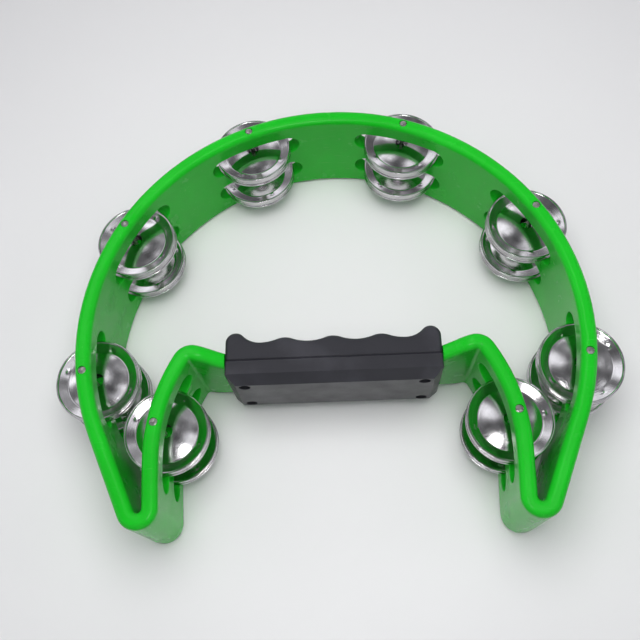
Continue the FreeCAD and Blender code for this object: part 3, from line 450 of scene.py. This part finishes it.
def press_pips(piece, size):
    """Four small marks pressed down into the ring, just outside the valley."""
    reach = size.valley_radius + PIP_OUTSIDE_VALLEY
    for number in range(PIP_COUNT):
        angle = math.radians(360 // PIP_COUNT * number + PIP_START)
        target = Vector((reach * math.cos(angle), reach * math.sin(angle), 0))
        bpy.ops.mesh.select_all(action="DESELECT")
        bpy.ops.object.mode_set(mode="OBJECT")
        nearest = min(((Vector((v.co.x, v.co.y, 0)) - target).length, -v.co.z, v.index)
                      for v in piece.data.vertices)
        piece.data.vertices[nearest[2]].select = True
        bpy.ops.object.mode_set(mode="EDIT")
        bpy.ops.transform.translate(
            value=(0, 0, -size.pip_depth), use_proportional_edit=True, proportional_size=size.pip_size,
            proportional_edit_falloff="SMOOTH", use_proportional_connected=False)


def lay_round_map(piece):
    """A map whose first direction runs round the disc and whose second runs out along it."""
    data = piece.data
    layer = data.uv_layers.new(name="round")
    for polygon in data.polygons:
        angles = []
        for loop_index in polygon.loop_indices:
            place = data.vertices[data.loops[loop_index].vertex_index].co
            angles.append(math.atan2(place.y, place.x) / (2 * math.pi) % 1.0)
        wraps = max(angles) - min(angles) > 0.5
        for loop_index, angle in zip(polygon.loop_indices, angles):
            place = data.vertices[data.loops[loop_index].vertex_index].co
            turn = angle + 1.0 if wraps and angle < 0.5 else angle
            layer.data[loop_index].uv = (turn, place.xy.length / JINGLE_RADIUS)


def copy_pattern(pattern, name):
    """A copy of the pattern disc with a mesh of its own."""
    piece = pattern.copy()
    piece.data = pattern.data.copy()
    piece.name = name
    piece.data.name = name
    bpy.context.scene.collection.objects.link(piece)
    return piece


def disc_rest(node):
    """Where a jingle lies: the middle of its valley's underside, and its axis from there to its rim."""
    data = frame["nodes"][node].data
    areas = np.empty(len(data.polygons))
    data.polygons.foreach_get("area", areas)
    centres = np.empty(len(data.polygons) * 3)
    data.polygons.foreach_get("center", centres)
    corners = np.empty(len(data.vertices) * 3)
    data.vertices.foreach_get("co", corners)
    centres = centres.reshape(-1, 3)
    middle = np.average(centres, axis=0, weights=areas)
    axis = np.linalg.eigh(np.cov((centres - middle).T, aweights=areas))[1][:, 0]
    if (axis[2] > 0) == node.endswith("_lower"):
        axis = -axis
    foot = ((corners.reshape(-1, 3) - middle) @ axis).min()
    return Vector(middle + axis * foot), Vector(axis)


def place_jingle(pattern, node, turn):
    """Copy the pattern, spin it and set it where its disc rests; a lower disc lies upside down."""
    foot, axis = disc_rest(node)
    piece = copy_pattern(pattern, node + "_pressed")
    deselect_everything()
    piece.select_set(True)
    bpy.context.view_layer.objects.active = piece
    lie = axis.to_track_quat("Z", "Y").to_matrix().to_4x4()
    piece.matrix_world = Matrix.Translation(foot) @ lie @ Matrix.Rotation(turn, 4, "Z")
    bpy.ops.object.transform_apply(location=True, rotation=True, scale=True)
    return piece


# ---------------------------------------------------------------- operators
class TAMBOURINE_OT_band(bpy.types.Operator):
    """Finish the moulded band in glossy green plastic"""
    bl_idname = "tambourine.band"
    bl_label = "Finish band"

    def execute(self, context):
        dress("frame", band_plastic(context.scene.tambourine_finish))
        return {"FINISHED"}


class TAMBOURINE_OT_grip(bpy.types.Operator):
    """Finish the two grip shells in grained black plastic"""
    bl_idname = "tambourine.grip"
    bl_label = "Finish grip"

    def execute(self, context):
        plastic = grip_plastic(context.scene.tambourine_finish)
        for node in SHELL_NODES:
            dress(node, plastic)
        return {"FINISHED"}


class TAMBOURINE_OT_fasteners(bpy.types.Operator):
    """Finish the jingle pins and the grip screws in steel"""
    bl_idname = "tambourine.fasteners"
    bl_label = "Finish fasteners"

    def execute(self, context):
        pin_steel = turned_steel("pin_steel", PIN_COLOUR, 0.22, 0.36)
        for node in PIN_NODES:
            dress(node, pin_steel)
        dress("grip_screws", turned_steel("screw_steel", SCREW_COLOUR, 0.30, 0.45))
        return {"FINISHED"}


class TAMBOURINE_OT_jingles(bpy.types.Operator):
    """Press the jingles and set them on their pins"""
    bl_idname = "tambourine.jingles"
    bl_label = "Make jingles"

    def execute(self, context):
        steel = jingle_steel(context.scene.tambourine_finish)
        pattern = press_jingle(context.scene.tambourine_jingle)
        pattern.data.materials.append(steel)
        spins = random.Random(SPIN_SEED)
        for node in JINGLE_NODES:
            piece = place_jingle(pattern, node, spins.uniform(0, 2 * math.pi))
            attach(piece, node)
            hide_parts(node)
        bpy.data.objects.remove(pattern)
        return {"FINISHED"}


def add_lamp(name, kind, place, aim, energy, size):
    """An area lamp at a place, turned to face a point; it lights but leaves no glint."""
    lamp = bpy.data.lights.new(name, "AREA")
    lamp.shape = kind
    lamp.size = size
    lamp.energy = energy
    item = bpy.data.objects.new(name, lamp)
    item.location = place
    item.rotation_euler = (Vector(aim) - Vector(place)).to_track_quat("-Z", "Y").to_euler()
    item.visible_glossy = False
    bpy.context.scene.collection.objects.link(item)


def soft_room():
    """A room of bright and grey patches, dim low down and toward the front, as the metal sees it."""
    world = bpy.data.worlds.new("soft_room")
    world.use_nodes = True
    tree = world.node_tree
    back = tree.nodes["Background"]
    sight = tree.nodes.new("ShaderNodeTexCoord").outputs["Generated"]
    split = tree.nodes.new("ShaderNodeSeparateXYZ")
    tree.links.new(sight, split.inputs["Vector"])

    def ramp(value, levels):
        """Grey levels along a value."""
        node = tree.nodes.new("ShaderNodeValToRGB")
        tree.links.new(value, node.inputs["Fac"])
        while len(node.color_ramp.elements) < len(levels):
            node.color_ramp.elements.new(0.5)
        for element, (place, level) in zip(node.color_ramp.elements, levels):
            element.position = place
            element.color = (level * ROOM_COOL_SHARE, level * ROOM_COOL_SHARE, level, 1.0)
        return node.outputs["Color"]

    def times(one, other):
        """Two colours multiplied."""
        node = tree.nodes.new("ShaderNodeVectorMath")
        node.operation = "MULTIPLY"
        tree.links.new(one, node.inputs[0])
        tree.links.new(other, node.inputs[1])
        return node.outputs["Vector"]

    height = ramp(split.outputs["Z"], ROOM_HEIGHTS)
    patches = tree.nodes.new("ShaderNodeTexNoise")
    patches.inputs["Scale"].default_value = ROOM_PATCH_SCALE
    patches.inputs["Detail"].default_value = ROOM_PATCH_DETAIL
    tree.links.new(sight, patches.inputs["Vector"])
    room = times(height, ramp(patches.outputs["Fac"], ROOM_PATCHES))
    room = times(room, ramp(split.outputs["Y"], ROOM_FRONT))
    tree.links.new(room, back.inputs["Color"])
    return world


class TAMBOURINE_OT_stage(bpy.types.Operator):
    """Set the pale floor, the soft lights and the camera"""
    bl_idname = "tambourine.stage"
    bl_label = "Set stage"

    def execute(self, context):
        stage = context.scene.tambourine_stage
        deselect_everything()
        bpy.ops.mesh.primitive_grid_add(
            x_subdivisions=FLOOR_DIVISIONS, y_subdivisions=FLOOR_DIVISIONS, size=stage.floor_size)
        floor = context.object
        floor.name = "floor"
        floor.data.materials.append(floor_paper(stage))
        for lamp in LAMPS:
            add_lamp(*lamp)
        self.hang_ring_lamp(stage)
        context.scene.world = soft_room()
        camera = bpy.data.cameras.new("camera")
        camera.lens = stage.camera_lens
        camera.sensor_width = SENSOR_WIDTH
        camera.clip_start = CLIP_START
        item = bpy.data.objects.new("camera", camera)
        item.location = stage.camera_place
        item.rotation_euler = stage.camera_turn
        context.scene.collection.objects.link(item)
        context.scene.camera = item
        context.scene.view_settings.view_transform = "Standard"
        return {"FINISHED"}

    def hang_ring_lamp(self, stage):
        """A small ring lamp round the camera, seen only as a glint on the metal."""
        deselect_everything()
        bpy.ops.mesh.primitive_circle_add(
            vertices=RING_LAMP_SEGMENTS, radius=RING_LAMP_OUTER, fill_type="NOTHING")
        ring = bpy.context.object
        ring.name = "ring_lamp"
        bpy.ops.object.mode_set(mode="EDIT")
        bpy.ops.mesh.select_all(action="SELECT")
        bpy.ops.mesh.extrude_edges_move()
        factor = RING_LAMP_INNER / RING_LAMP_OUTER
        bpy.ops.transform.resize(value=(factor, factor, 1), center_override=(0, 0, 0))
        bpy.ops.object.mode_set(mode="OBJECT")
        ring.location = stage.camera_place
        ring.rotation_euler = stage.camera_turn
        ring.visible_camera = False
        glow = Nodes("ring_glow")
        glow.set(Base_Color=(0, 0, 0), Emission_Color=(1.0, 1.0, 1.0), Emission_Strength=RING_LAMP_STRENGTH)
        ring.data.materials.append(glow.material)


class TAMBOURINE_PT_panel(bpy.types.Panel):
    """Tambourine tools"""
    bl_idname = "TAMBOURINE_PT_panel"
    bl_label = "Tambourine"
    bl_space_type = "VIEW_3D"
    bl_region_type = "UI"
    bl_category = "Tambourine"

    def draw(self, context):
        layout = self.layout
        scene = context.scene
        for group in (scene.tambourine_finish, scene.tambourine_jingle, scene.tambourine_stage):
            box = layout.box()
            for key in group.__annotations__:
                box.prop(group, key)
        for operator in OPERATORS:
            layout.operator(operator.bl_idname)


GROUPS = {
    "tambourine_finish": TambourineFinish,
    "tambourine_jingle": TambourineJingle,
    "tambourine_stage": TambourineStage,
}
OPERATORS = (
    TAMBOURINE_OT_band,
    TAMBOURINE_OT_grip,
    TAMBOURINE_OT_fasteners,
    TAMBOURINE_OT_jingles,
    TAMBOURINE_OT_stage,
)


def register():
    for name, group in GROUPS.items():
        bpy.utils.register_class(group)
        setattr(bpy.types.Scene, name, bpy.props.PointerProperty(type=group))
    for operator in OPERATORS:
        bpy.utils.register_class(operator)
    bpy.utils.register_class(TAMBOURINE_PT_panel)


def unregister():
    bpy.utils.unregister_class(TAMBOURINE_PT_panel)
    for operator in reversed(OPERATORS):
        bpy.utils.unregister_class(operator)
    for name, group in GROUPS.items():
        delattr(bpy.types.Scene, name)
        bpy.utils.unregister_class(group)


def main():
    register()
    bpy.ops.tambourine.band()
    bpy.ops.tambourine.grip()
    bpy.ops.tambourine.fasteners()
    bpy.ops.tambourine.jingles()
    bpy.ops.tambourine.stage()


if __name__ == "__main__":
    main()
